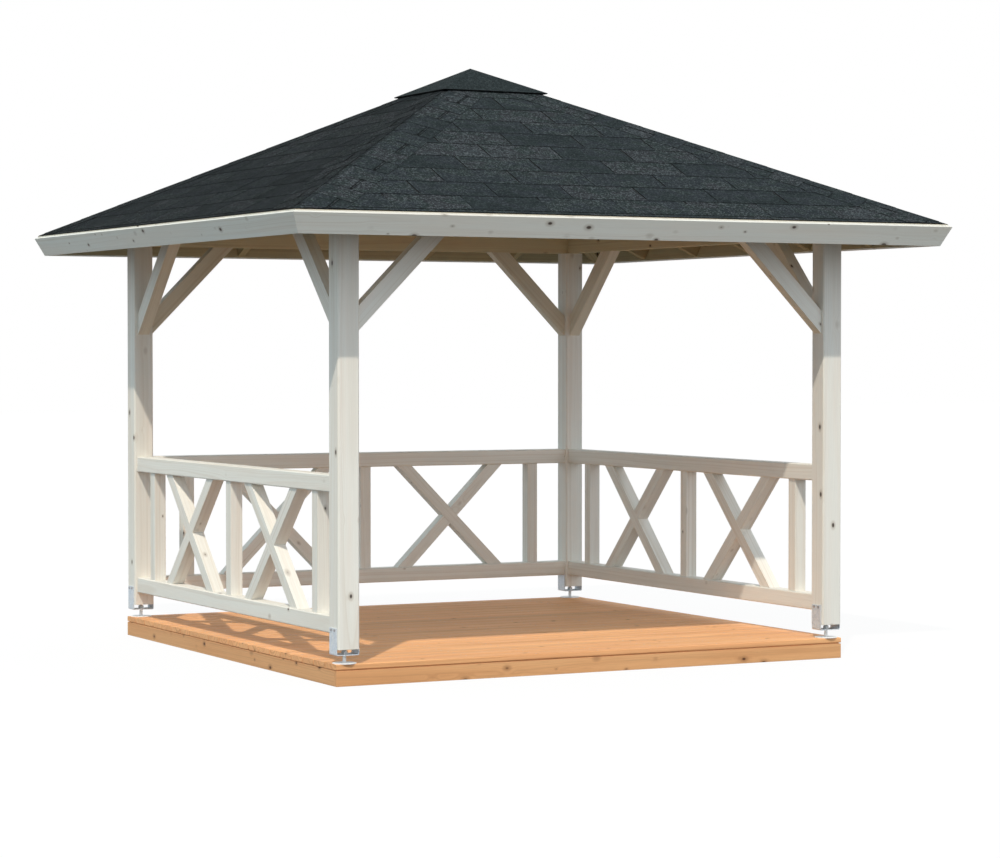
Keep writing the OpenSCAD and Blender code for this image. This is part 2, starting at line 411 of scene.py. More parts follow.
def shingle_finish(name, laid_in_courses):
    """Mineral-faced bitumen: slate grains, a tone for each tab and bare black bitumen on cut edges."""
    material, graph, shader = new_finish(name, gloss=0.03)
    slope = graph.attribute("slope", "Vector")
    seed = graph.attribute("seed")
    # Each slope's painted light and shade, stored on its mesh
    fresh = graph.attribute("fresh")
    along, up, _ = graph.parts(slope)
    spacing = COURSE if laid_in_courses else HIP_COURSE
    course = (up / spacing).floor()
    # Darker just under the next course's butt edge: a stain with painted shade in it
    under_edge_stain_and_shade = graph.span((up / spacing).fract(), 1 - EDGE_STAIN_AND_SHADE / spacing, 1.0)
    if laid_in_courses:
        tab = (along / TAB + 0.5 - (course / 2).fract()).floor()
        slot_stain_and_shade = 0.0
    else:
        tab = along.above(0.0)
        slot = (course / 2).fract() * (2 * (HIP_SLOTS[1] - HIP_SLOTS[0])) + HIP_SLOTS[0]
        # Darker in and beside the slot: a bitumen stain with painted shade in it
        slot_stain_and_shade = graph.fade(abs(along - slot), SLOT / 2, SLOT / 2 + SLOT_STAIN_AND_SHADE)
    pick = graph.add("ShaderNodeTexWhiteNoise", {"Vector": (tab, course, seed)})
    patch_place = (along * 5 + seed * 7, up * 8, tab * 2.3 + course * 3.7)
    patch = graph.noise(patch_place, 1.0, 2.0, 0.6)
    blend = pick * 0.55 + graph.span(patch, 0.3, 0.7) * 0.45
    tones = [
        (0.0, (0.013, 0.017, 0.020)),
        (0.2, (0.018, 0.025, 0.026)),
        (0.4, (0.021, 0.026, 0.031)),
        (0.58, (0.021, 0.029, 0.029)),
        (0.75, (0.026, 0.029, 0.033)),
        (1.0, (0.032, 0.040, 0.044)),
    ]
    body = graph.add("ShaderNodeValToRGB", {"Fac": blend}, stops=tones)

    # Grains: fine ones everywhere, and pale ones that come and go from tab to tab
    place = graph.place()
    _, grains = graph.cells(place, 300.0)
    _, (cluster_pick, _, _) = graph.cells(place, 150.0)
    coarse = graph.noise(place, 60.0, 4.0, 0.75)
    richness = graph.span(patch * 0.7 + pick * 0.5, 0.35, 0.85)
    streak = graph.noise((along * 1.5, up * 7, seed), 1.0, 3.0)
    # The stains under butt edges and beside slots, with painted shade in them
    stain_and_shade = 1 - under_edge_stain_and_shade * 0.45 - slot_stain_and_shade * 0.8
    # Painted light and shade of the slope, broken up by streaks
    streaky_slope_light = (fresh - 1) * (0.7 + streak * 0.6) + 1
    shade = (0.76 + grains[0] * 0.3 + (coarse - 0.5) * (2.0 + richness * 1.0)) * stain_and_shade * streaky_slope_light
    body = graph.scaled(body, shade)
    pale = cluster_pick.above(0.82) * (0.16 + richness * 0.34) * stain_and_shade * streaky_slope_light
    body = graph.mix(pale, body, (0.11, 0.128, 0.138))

    facing = graph.parts(graph.add("ShaderNodeNewGeometry").out("True Normal"))[2]
    cut_edge = graph.fade(facing, 0.6, 0.8)
    body = graph.mix(cut_edge, body, (0.005, 0.0055, 0.006))
    graph.feed(shader, {"Base Color": body, "Roughness": 0.95 - cut_edge * 0.3})
    bump(graph, shader, grains[2] + coarse * 2, 1.2 * MM, 0.8)
    return material


def felt_finish(name):
    material, graph, shader = new_finish(name, gloss=0.3)
    fleck = graph.noise(graph.place(), 220.0, 2.0)
    body = graph.mix(fleck, (0.004, 0.004, 0.005), (0.012, 0.013, 0.014))
    graph.feed(shader, {"Base Color": body, "Roughness": 0.7 + fleck * 0.2})
    bump(graph, shader, fleck, 0.4 * MM)
    return material


def galvanised_finish(name, dark, bright, metal):
    """Hot-dipped zinc: flat crystals of slightly different grey, dulled in patches."""
    material, graph, shader = new_finish(name)
    place = graph.place()
    _, (spangle, _, _) = graph.cells(place, 130.0)
    dull = graph.span(graph.noise(place, 28.0, 3.0), 0.35, 0.7)
    body = graph.mix(dull * 0.5, graph.mix(spangle, dark, bright), (0.78, 0.78, 0.77))
    roughness = 0.42 + spangle * 0.12 + dull * 0.2
    metallic = metal - dull * metal * 0.5
    graph.feed(shader, {"Base Color": body, "Metallic": metallic, "Roughness": roughness})
    bump(graph, shader, spangle * 0.3 + dull, 0.15 * MM)
    return material


def screw_finish(name, colour):
    material, graph, shader = new_finish(name)
    wear = graph.noise(graph.place(), 600.0, 2.0)
    body = graph.mix(wear, tuple(share * 0.8 for share in colour), colour)
    graph.feed(shader, {"Base Color": body, "Metallic": 0.8 + wear * 0.2, "Roughness": 0.3 + wear * 0.25})
    return material


WHITE_TIMBER = timber_finish(
    "white_glazed_spruce",
    (0.83, 0.82, 0.76),
    (0.80, 0.76, 0.69),
    (0.64, 0.565, 0.465),
    (0.06, 0.04, 0.03),
    knot_size=0.0115,
    tone_share=0.03,
)
# The white glaze made darker and greener for the fascia: painted shade
FASCIA_SHADE_TIMBER = timber_finish(
    "grey_glazed_fascia",
    (0.70, 0.71, 0.66),
    (0.68, 0.66, 0.60),
    (0.54, 0.49, 0.41),
    (0.06, 0.045, 0.035),
    knot_size=0.0125,
    tone_share=0.02,
    knots_per_metre=13.0,
)
# The white glaze made warmer and darker for timber under the roof: painted shade
BEAM_SHADE_TIMBER = timber_finish(
    "warm_glazed_beams",
    (0.72, 0.67, 0.48),
    (0.69, 0.60, 0.42),
    (0.52, 0.43, 0.28),
    (0.06, 0.045, 0.03),
    knot_size=0.0135,
    tone_share=0.03,
    gloss=0.0,
)
# A darker, warmer white glaze for the braces' inward faces and undersides: painted shade
BRACE_SHADE_TIMBER = timber_finish(
    "soft_glazed_braces",
    (0.78, 0.745, 0.625),
    (0.745, 0.68, 0.56),
    (0.58, 0.50, 0.37),
    (0.06, 0.045, 0.03),
    knot_size=0.0115,
    tone_share=0.03,
    gloss=0.2,
)
# Boards, rafters and hub under the roof in dark brown: the bare wood's own tone, darkened further as
# painted shade
ROOF_TIMBER_AND_SHADE = timber_finish(
    "glazed_roof_boards",
    (0.52, 0.44, 0.265),
    (0.48, 0.385, 0.225),
    (0.36, 0.27, 0.14),
    (0.06, 0.04, 0.025),
    knot_size=0.014,
    tone_share=0.05,
    gloss=0.0,
)
DECK_TIMBER = timber_finish(
    "oiled_deck_boards",
    (0.91, 0.49, 0.225),
    (0.80, 0.40, 0.18),
    (0.52, 0.235, 0.095),
    (0.20, 0.085, 0.035),
    knot_size=0.010,
    tone_share=0.07,
    ring_share=0.7,
    fleck_share=2.0,
    gloss=0.3,
)
DECK_EDGE_TIMBER = timber_finish(
    "oiled_deck_edging",
    (0.80, 0.44, 0.205),
    (0.70, 0.36, 0.16),
    (0.46, 0.215, 0.09),
    (0.09, 0.035, 0.015),
    knot_size=0.0135,
    tone_share=0.05,
    ring_share=0.45,
    knots_per_metre=12.0,
    fleck_share=2.4,
    gloss=0.3,
)
SHINGLES = shingle_finish("mineral_shingles", True)
HIP_AND_CAP = shingle_finish("mineral_hip_shingles", False)
UNDERLAY = felt_finish("bitumen_underlay")
ZINC = galvanised_finish("hot_dip_zinc", (0.51, 0.58, 0.65), (0.68, 0.74, 0.80), 0.4)
PALE_ZINC = galvanised_finish("pale_zinc", (0.80, 0.81, 0.81), (0.90, 0.90, 0.89), 0.2)
STAINLESS = screw_finish("stainless_screws", (0.62, 0.60, 0.57))
BOLT_STEEL = screw_finish("dull_bolt_steel", (0.52, 0.53, 0.55))


# Meshes


def finish_piece(piece, slot, *stands_for):
    """Puts a finished piece on the body and hides the CAD nodes that it stands for; its slot is not used.
    """
    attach(piece, "root")
    if stands_for:
        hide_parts(*stands_for)
    return piece


def new_piece(name, mesh, material):
    mesh.materials.clear()
    mesh.materials.append(material)
    piece = bpy.data.objects.new(name, mesh)
    bpy.context.scene.collection.objects.link(piece)
    return piece


def solid(corners, faces):
    """A closed solid as a bmesh, with its faces turned outwards."""
    shape = bmesh.new()
    made = [shape.verts.new(corner) for corner in corners]
    for face in faces:
        shape.faces.new([made[i] for i in face])
    bmesh.ops.recalc_face_normals(shape, faces=shape.faces)
    return shape


def bridge(low, high):
    """A solid between two outlines with as many corners as each other."""
    count = len(low)
    faces = [tuple(range(count)), tuple(range(count, 2 * count))]
    faces += [(i, (i + 1) % count, (i + 1) % count + count, i + count) for i in range(count)]
    return solid(low + high, faces)


def mesh_of(shape, name):
    """A mesh of a solid, which is used up."""
    mesh = bpy.data.meshes.new(name)
    shape.to_mesh(mesh)
    shape.free()
    return mesh


def axes_matrix(x, y, z, origin):
    """Takes points from a frame of its own, given by its axes and its origin, to the shared one."""
    place = Matrix((x, y, z)).transposed().to_4x4()
    place.translation = origin
    return place


def islands(node):
    """The separate solids of a CAD node, each as a bmesh of its own with flat faces made whole."""
    whole = bmesh.new()
    whole.from_mesh(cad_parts[node].data)
    bmesh.ops.remove_doubles(whole, verts=whole.verts, dist=MERGE)
    whole.verts.index_update()
    left = set(whole.verts)
    found = []
    while left:
        group, front = set(), [min(left, key=lambda vert: vert.index)]
        while front:
            vert = front.pop()
            if vert not in group:
                group.add(vert)
                front += [edge.other_vert(vert) for edge in vert.link_edges]
        left -= group
        order = sorted(group, key=lambda vert: vert.index)
        place = {vert: i for i, vert in enumerate(order)}
        faces = [face for face in whole.faces if face.verts[0] in group]
        loops = [[place[vert] for vert in face.verts] for face in faces]
        part = solid([vert.co.copy() for vert in order], loops)
        bmesh.ops.dissolve_limit(part, angle_limit=math.radians(0.5), verts=part.verts, edges=part.edges)
        found.append(part)
    whole.free()
    return found


def extent(shape):
    """The lowest and the highest X, Y and Z of a solid."""
    axes = list(zip(*(vert.co for vert in shape.verts)))
    return [min(axis) for axis in axes], [max(axis) for axis in axes]


def soften(shape, width, segments=2):
    """Rounds the sharp edges of a solid."""
    sharp = [edge for edge in shape.edges if edge.calc_face_angle(0) > math.radians(20)]
    bmesh.ops.bevel(
        shape, geom=sharp, offset=width, segments=segments, profile=0.6, affect="EDGES", clamp_overlap=True
    )
    bmesh.ops.dissolve_degenerate(shape, dist=SLIVER, edges=shape.edges)


def grain_axes(shape):
    """The direction of the longest edge, and two directions across it that follow the widest face."""
    longest = max(shape.edges, key=lambda edge: edge.calc_length())
    along = (longest.verts[1].co - longest.verts[0].co).normalized()
    sides = [face for face in shape.faces if abs(face.normal.dot(along)) < 0.1]
    across = max(sides, key=lambda face: face.calc_area()).normal.copy()
    across = (across - along * across.dot(along)).normalized()
    return along, across.cross(along), across


def timber_piece(name, shapes, material, seed, rounding=EDGE_ROUNDING, pith=PITH):
    """One mesh of several pieces of timber, each with its own stretch of grain and its own tone."""
    draw = random.Random(seed)
    corners, faces, grain, tone = [], [], [], []
    for shape in shapes:
        axes = grain_axes(shape)
        middle = sum((vert.co for vert in shape.verts), Vector()) / len(shape.verts)
        turn = draw.uniform(0, 2 * math.pi)
        off_pith = draw.uniform(*pith)
        slide = draw.uniform(0, GRAIN_SLIDE)
        shift = Vector((slide, off_pith * math.cos(turn), off_pith * math.sin(turn)))
        piece_tone = draw.uniform(-1, 1)
        if rounding:
            soften(shape, rounding)
        shape.verts.index_update()
        first = len(corners)
        for vert in shape.verts:
            corners.append(vert.co.copy())
            grain.append(Vector([(vert.co - middle).dot(axis) for axis in axes]) + shift)
            tone.append(piece_tone)
        faces += [[first + vert.index for vert in face.verts] for face in shape.faces]
        shape.free()
    mesh = bpy.data.meshes.new(name)
    mesh.from_pydata(corners, [], faces)
    set_attribute(mesh, "grain", [part for point in grain for part in point], "FLOAT_VECTOR")
    set_attribute(mesh, "tone", tone)
    return new_piece(name, mesh, material)


def paint_faces(piece, material, least, *directions):
    """Gives a second finish to the faces that look along one of the directions."""
    piece.data.materials.append(material)
    for face in piece.data.polygons:
        if any(face.normal.dot(direction) > least for direction in directions):
            face.material_index = 1


def set_attribute(mesh, name, values, kind="FLOAT"):
    """Stores a number at each vertex, or a vector given as three numbers in a row."""
    field = "value" if kind == "FLOAT" else "vector"
    mesh.attributes.new(name, kind, "POINT").data.foreach_set(field, values)


class Grower:
    """A Geometry Nodes tree with named inputs, which makes plain meshes of given sizes."""

    KINDS = {float: "NodeSocketFloat", int: "NodeSocketInt"}

    def __init__(self, name, sizes, build, material):
        self.tree = bpy.data.node_groups.new(name, "GeometryNodeTree")
        graph = Shaper(self.tree)
        self.tree.interface.new_socket("Mesh", in_out="OUTPUT", socket_type="NodeSocketGeometry")
        self.sockets = {}
        for key, value in sizes.items():
            kind = self.KINDS[type(value)]
            socket = self.tree.interface.new_socket(key, in_out="INPUT", socket_type=kind)
            socket.default_value = value
            self.sockets[key] = socket.identifier
        entry = self.tree.nodes.new("NodeGroupInput")
        inputs = {key: Value(graph, entry.outputs[key]) for key in sizes}
        whole = graph.realized(build(graph, inputs))
        painted = graph.add("GeometryNodeSetMaterial", {"Geometry": whole, "Material": material})
        graph.feed(self.tree.nodes.new("NodeGroupOutput"), {"Mesh": painted})
        self.material = material

    def mesh(self, **sizes):
        """The tree's result as a plain mesh, with some of its inputs set."""
        holder = bpy.data.objects.new("holder", bpy.data.meshes.new("holder"))
        bpy.context.scene.collection.objects.link(holder)
        modifier = holder.modifiers.new("grow", "NODES")
        modifier.node_group = self.tree
        for key, value in sizes.items():
            modifier[self.sockets[key]] = value
        bpy.context.view_layer.update()
        evaluated = holder.evaluated_get(bpy.context.evaluated_depsgraph_get())
        mesh = bpy.data.meshes.new_from_object(evaluated)
        holder.modifiers.remove(modifier)
        bpy.data.objects.remove(holder)

        # Slivers go, and faces that aren't flat are split
        shape = bmesh.new()
        shape.from_mesh(mesh)
        bmesh.ops.dissolve_degenerate(shape, dist=SLIVER, edges=shape.edges)
        bmesh.ops.connect_verts_nonplanar(shape, angle_limit=math.radians(1), faces=shape.faces)
        shape.to_mesh(mesh)
        shape.free()
        return mesh

    def piece(self, name, place, **sizes):
        mesh = self.mesh(**sizes)
        mesh.transform(place)
        mesh.name = name
        return new_piece(name, mesh, self.material)


# Frame, railings and deck


def place_on_side(side):
    """Turns what is laid out along the front to another side."""
    return Matrix.Rotation(SIDES.index(side) * math.pi / 2, 4, "Z")


def node_timber(node, material, slot, rounding=EDGE_ROUNDING):
    """Timber with the shape of a CAD node, softened and given its grain."""
    piece = timber_piece(node + "_timber", islands(node), material, node, rounding)
    return finish_piece(piece, slot, node)


def halved_bar(low, high, width, thickness, notched_in_front):
    """A bar of a cross in the plane of X and Z, cut level at both ends and halved in the middle."""
    along = (high - low).normalized()
    across = Vector((-along.z, 0, along.x))
    middle = (low + high) / 2
    half = width / 2
    near, far = -thickness / 2, thickness / 2
    lap = half + LAP_JOINT
    edges = []
    for side in (-1, 1):
        start = middle + across * side * half
        first, last = [(end.z - start.z) / along.z for end in (low, high)]
        outline = [(first, near), (last, near), (last, far), (lap, far), (lap, LAP_JOINT / 2)]
        outline += [(-lap, LAP_JOINT / 2), (-lap, far), (first, far)]
        edges.append([
            middle + along * distance + across * side * half + Vector((0, depth, 0))
            for distance, depth in outline
        ])
    shape = bridge(*edges)
    if notched_in_front:
        bmesh.ops.scale(shape, vec=(1, -1, 1), verts=shape.verts)
        bmesh.ops.recalc_face_normals(shape, faces=shape.faces)
    return shape


def crosses(side):
    """Two crosses in a railing, each of two bars that are halved over each other."""
    node = f"crosses_{side}"
    to_front = place_on_side(side).inverted()
    shapes = []
    for whole in islands(node):
        bmesh.ops.transform(whole, matrix=to_front, verts=whole.verts)
        low, high = extent(whole)
        whole.free()
        centre = Vector([(a + b) / 2 for a, b in zip(low, high)])
        length, thickness, rise = [b - a for a, b in zip(low, high)]
        width = (length - rise) / math.sqrt(2)
        for way in (-1, 1):
            ends = [Vector((-way * rise / 2, 0, -rise / 2)), Vector((way * rise / 2, 0, rise / 2))]
            bar = halved_bar(*ends, width, thickness, way == 1)
            bmesh.ops.translate(bar, vec=centre, verts=bar.verts)
            bmesh.ops.transform(bar, matrix=place_on_side(side), verts=bar.verts)
            shapes.append(bar)
    piece = timber_piece(node + "_timber", shapes, WHITE_TIMBER, node, FINE_ROUNDING)
    finish_piece(piece, "white_timber", node)


def build_boards(graph, size):
    """Boards side by side along Y, with rounded long edges, each with its own grain and tone."""
    rectangle = {"Width": size["Board"], "Height": size["Thickness"]}
    outline = graph.add("GeometryNodeCurvePrimitiveQuadrilateral", rectangle)
    rounded = {"Curve": outline, "Count": 3, "Radius": size["Edge"]}
    outline = graph.add("GeometryNodeFilletCurve", rounded, mode="POLY")
    start, end = [(size["Length"] * share, 0.0, 0.0) for share in (-0.5, 0.5)]
    line = graph.add("GeometryNodeCurvePrimitiveLine", {"Start": start, "End": end})
    drawn_out = {"Curve": line, "Profile Curve": outline, "Fill Caps": True}
    board = graph.add("GeometryNodeCurveToMesh", drawn_out)
    place = graph.add("GeometryNodeInputPosition")
    board = graph.store(board, "grain", place, "FLOAT_VECTOR")
    boards = graph.row(board, size["Count"], size["Board"] + size["Gap"])
    spans = {"tone": (-1.0, 1.0), "slide": (0.0, GRAIN_SLIDE), "pith": (-0.07, 0.07)}
    for number, (key, span) in enumerate(spans.items()):
        boards = graph.store(boards, key, graph.drawn(*span, number + 1), "FLOAT", "INSTANCE")
    boards = graph.realized(boards)
    slide, pith = graph.stored("slide"), graph.stored("pith")
    shift = (slide, pith, abs(pith) * -0.6 - 0.02)
    terms = {0: graph.stored("grain", "FLOAT_VECTOR"), 1: shift}
    moved = graph.add("ShaderNodeVectorMath", terms, operation="ADD")
    return graph.store(boards, "grain", moved, "FLOAT_VECTOR")


def deck_boards():
    low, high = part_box("deck_boards")
    depth = high.y - low.y
    count = round((depth + DECK_GAP) / (DECK_BOARD + DECK_GAP))
    sizes = {
        "Length": high.x - low.x,
        "Board": DECK_BOARD,
        "Thickness": high.z - low.z,
        "Gap": (depth - count * DECK_BOARD) / (count - 1),
        "Edge": DECK_EDGE,
        "Count": count,
    }
    boards = Grower("deck_boards", sizes, build_boards, DECK_TIMBER)
    piece = boards.piece("deck_planks", Matrix.Translation((low + high) / 2))
    finish_piece(piece, "deck_timber", "deck_boards")
    return count, DECK_BOARD + sizes["Gap"]


def deck_packers():
    """Strips on the side boards that carry the deck boards, set back so that a shadow gap stays."""
    deck_low, deck_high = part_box("deck_boards")
    shapes = []
    for side in SIDES:
        low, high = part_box(f"deck_side_{side}")
        left = max(low.x, deck_low.x + PACKER_SETBACK)
        right = min(high.x, deck_high.x - PACKER_SETBACK)
        front = max(low.y + LAP_JOINT, deck_low.y + PACKER_SETBACK)
        back = min(high.y - LAP_JOINT, deck_high.y - PACKER_SETBACK)
        outline = [(left, front), (right, front), (right, back), (left, back)]
        shapes.append(bridge(*([(x, y, z) for x, y in outline] for z in (high.z, deck_low.z))))
    piece = timber_piece("deck_packers", shapes, DECK_EDGE_TIMBER, "deck_packers", None)
    finish_piece(piece, "deck_timber")


def build_screws(graph, size):
    """Countersunk heads with a cross recess, in pairs over a grid of crossings."""
    height = size["Height"]
    reach = size["Radius"] * 1.1
    slot = size["Radius"] * 0.28
    raised = (0.0, 0.0, height * 0.5)
    bars = [
        graph.transformed(graph.box((*lengths, height)), Translation=raised)
        for lengths in ((reach, slot), (slot, reach))
    ]
    head = graph.cylinder(14, size["Radius"], height)
    head = graph.boolean("DIFFERENCE", {"Mesh 1": head, "Mesh 2": bars})
    crossings = graph.grid(size["Count X"], size["Step X"], size["Count Y"], size["Step Y"])
    return graph.copies(crossings, graph.row(head, 2, size["Pair"]))


def deck_screws(board_count, board_pitch):
    """Two screws where each deck board crosses a joist."""
    joists = islands("deck_joists")
    middles = sorted(sum(vert.co.x for vert in joist.verts) / len(joist.verts) for joist in joists)
    sizes = {
        "Radius": SCREW_RADIUS,
        "Height": SCREW_HEAD,
        "Pair": SCREW_PAIR,
        "Step X": middles[1] - middles[0],
        "Step Y": board_pitch,
        "Count X": len(middles),
        "Count Y": board_count,
    }
    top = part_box("deck_boards")[1].z - SCREW_SUNK
    screws = Grower("deck_screws", sizes, build_screws, STAINLESS)
    finish_piece(screws.piece("deck_screws", Matrix.Translation((0, 0, top))), "galvanised_steel")


def build_frame():
    for post in ("front_left", "front_right", "back_left", "back_right"):
        node_timber(f"post_{post}", WHITE_TIMBER, "white_timber")
    for side in RAILED_SIDES:
        node_timber(f"rails_{side}", WHITE_TIMBER, "white_timber")
        node_timber(f"balusters_{side}", WHITE_TIMBER, "white_timber")
        crosses(side)
    for side in SIDES:
        # Beams in the darker, warmer glaze of painted shade
        node_timber(f"beam_{side}", BEAM_SHADE_TIMBER, "white_timber")
        inwards = place_on_side(side) @ Vector((0, 1, 0))
        braces = node_timber(f"braces_{side}", WHITE_TIMBER, "white_timber")
        # Painted shade on the braces' inward faces and undersides
        paint_faces(braces, BRACE_SHADE_TIMBER, 0.6, inwards, -UP)
        # Fascia outsides in the darker glaze of painted shade, insides in the beams' painted shade
        fascia = node_timber(f"fascia_{side}", FASCIA_SHADE_TIMBER, "white_timber", FINE_ROUNDING)
        paint_faces(fascia, BEAM_SHADE_TIMBER, 0.6, inwards)
        node_timber(f"deck_side_{side}", DECK_EDGE_TIMBER, "deck_timber")
    for node in ("hip_rafters", "rafters", "roof_hub"):
        node_timber(node, ROOF_TIMBER_AND_SHADE, "roof_timber")
    node_timber("deck_joists", DECK_TIMBER, "deck_timber", FINE_ROUNDING)
    deck_screws(*deck_boards())
    deck_packers()


# Roof


class Slope:
    """One slope's own frame: X along the eave, S up from the boards' lower edge and N square to both."""

    def __init__(self, side):
        self.side = side
        (boards,) = islands(f"boarding_{side}")
        top = max(boards.faces, key=lambda face: face.normal.z)
        self.normal = top.normal.copy()
        self.tip = max((vert.co.copy() for vert in top.verts), key=lambda point: point.z)
        self.along = UP.cross(self.normal).normalized()
        self.up = self.normal.cross(self.along)
        self.length = max(self.up.dot(self.tip - vert.co) for vert in top.verts)
        self.thickness = max(self.normal.dot(self.tip - vert.co) for vert in boards.verts)
        half_eave = max(self.along.dot(vert.co - self.tip) for vert in top.verts)
        self.cos = self.normal.z
        self.sin = self.up.z
        self.spread = half_eave / (self.length * self.cos)
        boards.free()

    def half_width(self, s, n):
        """Distance from the middle of the slope to its hips."""
        return self.spread * ((self.length - s) * self.cos + n * self.sin)

    def at(self, x, s, n):
        return self.tip + self.along * x + self.up * (s - self.length) + self.normal * n

    def layer(self, outline, short=0.0):
        """A solid between the two hips, or just short of them; its outline is given by S and N."""
        ends = [
            [self.at(side * (self.half_width(s, n) - short), s, n) for s, n in outline]
            for side in (-1, 1)
        ]
        return bridge(*ends)

    def matrix(self):
        return axes_matrix(self.along, self.up, self.normal, self.at(0, 0, 0))


def roof_boards(slope):
    """Boards along the eave with a vee joint on the underside, mitred at the hips."""
    shapes = []
    bottom = -slope.thickness
    low = 0.0
    cut = ROOF_BOARD_CHAMFER
    while low < slope.length - LEAST_ROOF_BOARD:
        high = min(low + ROOF_BOARD - ROOF_BOARD_GAP, slope.length - ROOF_TIP_GAP)
        outline = [(low, 0.0), (high, 0.0), (high, bottom + cut), (high - cut, bottom)]
        outline += [(low + cut, bottom), (low, bottom + cut)]
        shapes.append(slope.layer(outline))
        low += ROOF_BOARD
    name = f"roof_boards_{slope.side}"
    piece = timber_piece(name, shapes, ROOF_TIMBER_AND_SHADE, name, None, ROOF_PITH)
    paint_faces(piece, WHITE_TIMBER, 0.95, -slope.up)
    finish_piece(piece, "roof_timber", f"boarding_{slope.side}")


def build_shingles(graph, size):
    """A starter strip and courses of tabs in half bond, cut to the hips, in the slope's own frame."""
    course, thick, base = size["Course"], size["Thickness"], size["Base"]
    full = course + HEADLAP
    x, s, n = graph.position()

    # One tab, with its lower edge lifted over the course below
    tab = graph.box((size["Tab"] - size["Slot"], full, thick))
    climb = s + full * 0.5
    lift = thick * LIFT * (1 - climb / full)
    tab = graph.set_position(tab, (x, climb, n + thick * 0.5 + base + lift))

    # Where the tabs lie, in half bond and each a little out of line
    columns = (size["Half eave"] / size["Tab"]).floor() * 2 + 5
    rows = (size["Length"] / course).floor()
    height = s + (rows - 1) * course * 0.5
    half_bond = ((height / course + 0.25).floor() / 2).fract()
    across = x + (half_bond + size["Phase"]) * size["Tab"]
    grid = graph.grid(columns, size["Tab"], rows, course)
    grid = graph.set_position(grid, (across, height + size["First"], 0.0))
    slip = graph.drawn((-0.002, -0.0012, 0.0), (0.002, 0.0012, 0.0004), size["Seed"], "FLOAT_VECTOR")
    grid = graph.add("GeometryNodeSetPosition", {"Geometry": grid, "Offset": slip})
    tabs = graph.realized(graph.copies(grid, tab))

    # Starter strip under the first course
    starter = graph.box((size["Half eave"] * 2.2, course, thick))
    starter_place = (0.0, course * 0.5 + EAVE_SETBACK, thick * 0.5 + base)
    starter = graph.transformed(starter, Translation=starter_place)

    # What lies between the two hips
    high = (s + 0.5) * (size["Length"] - TOP_CUTBACK)
    rise = (n + 0.5) * 0.05 + base
    half = size["Spread"] * ((size["Length"] - high) * size["Cos"] + rise * size["Sin"]) - HIP_CUTBACK
    sector = graph.set_position(graph.box((2.0, 1.0, 1.0)), (x * half, high, rise))
    cut = graph.boolean("INTERSECT", {"Mesh": [graph.joined([tabs, starter]), sector]})
    laid = (x - size["Phase"] * size["Tab"], s - size["First"], n)
    cut = graph.store(cut, "slope", laid, "FLOAT_VECTOR")
    cut = graph.store(cut, "fresh", size["Fresh"])
    return graph.store(cut, "seed", size["Seed"] * 1.0)


def shingle_sizes(number, slope):
    return {
        "Length": slope.length,
        "Half eave": slope.half_width(0, 0),
        "Spread": slope.spread,
        "Cos": slope.cos,
        "Sin": slope.sin,
        "Course": COURSE,
        "Thickness": SHINGLE,
        "Base": UNDERLAY_SHEET,
        "Tab": TAB,
        "Slot": SLOT,
        "First": EAVE_SETBACK + FIRST_COURSE,
        "Phase": FIRST_PHASE + PHASE_STEP * number,
        "Fresh": PAINTED_SLOPE_LIGHT[slope.side],
        "Seed": number + 1,
    }


def covering(slopes):
    sizes = [shingle_sizes(number, slope) for number, slope in enumerate(slopes)]
    grower = Grower("shingle_courses", sizes[0], build_shingles, SHINGLES)
    for slope, own in zip(slopes, sizes):
        shingles = grower.piece(f"shingles_{slope.side}", slope.matrix(), **own)
        finish_piece(shingles, "roof_shingle", f"covering_{slope.side}")
        underlay(slope)


def underlay(slope):
    """Bitumen sheet on the roof boards."""
    low, high = UNDERLAY_SETBACK, slope.length - TOP_CUTBACK
    outline = [(low, UNDERLAY_GAP), (high, UNDERLAY_GAP), (high, UNDERLAY_SHEET), (low, UNDERLAY_SHEET)]
    name = f"underlay_{slope.side}"
    mesh = mesh_of(slope.layer(outline, HIP_CUTBACK), name)
    finish_piece(new_piece(name, mesh, UNDERLAY), "roof_shingle")


class Hip:
    """A hip's own frame: X up the hip, Y level across it and Z square to both."""

    def __init__(self, slope, following):
        self.corner = slope.at(slope.half_width(0, 0), 0, 0)
        self.up = (slope.tip - self.corner).normalized()
        self.length = (slope.tip - self.corner).length
        self.across = UP.cross(self.up).normalized()
        self.normal = self.up.cross(self.across)
        both = (slope, following)
        falls = [abs(side.normal.dot(self.across) / side.normal.dot(self.normal)) for side in both]
        self.fall = sum(falls) / 2
        self.name = f"{slope.side}_{following.side}"
        # Painted light and shade of the slopes on either side of the hip
        self.fresh = (PAINTED_SLOPE_LIGHT[slope.side], PAINTED_SLOPE_LIGHT[following.side])

    def matrix(self):
        return axes_matrix(self.up, self.across, self.normal, self.corner)


def hip_strip(graph, size, low, high):
    """The part of a hip shingle between two places across the hip, folded over it."""
    full = size["Course"] + HEADLAP
    thick = size["Thickness"]
    u, v, w = graph.position()
    strip = graph.box((full, high - low, thick), (2, 15, 2))
    climb = u + full * 0.5
    across = v + (low + high) * 0.5
    fold = (across * across + HIP_ROUNDING**2) ** 0.5 * size["Fall"]
    lift = thick * LIFT * (1 - climb / full)
    return graph.set_position(strip, (climb, across, w + thick * 0.5 + lift - fold))


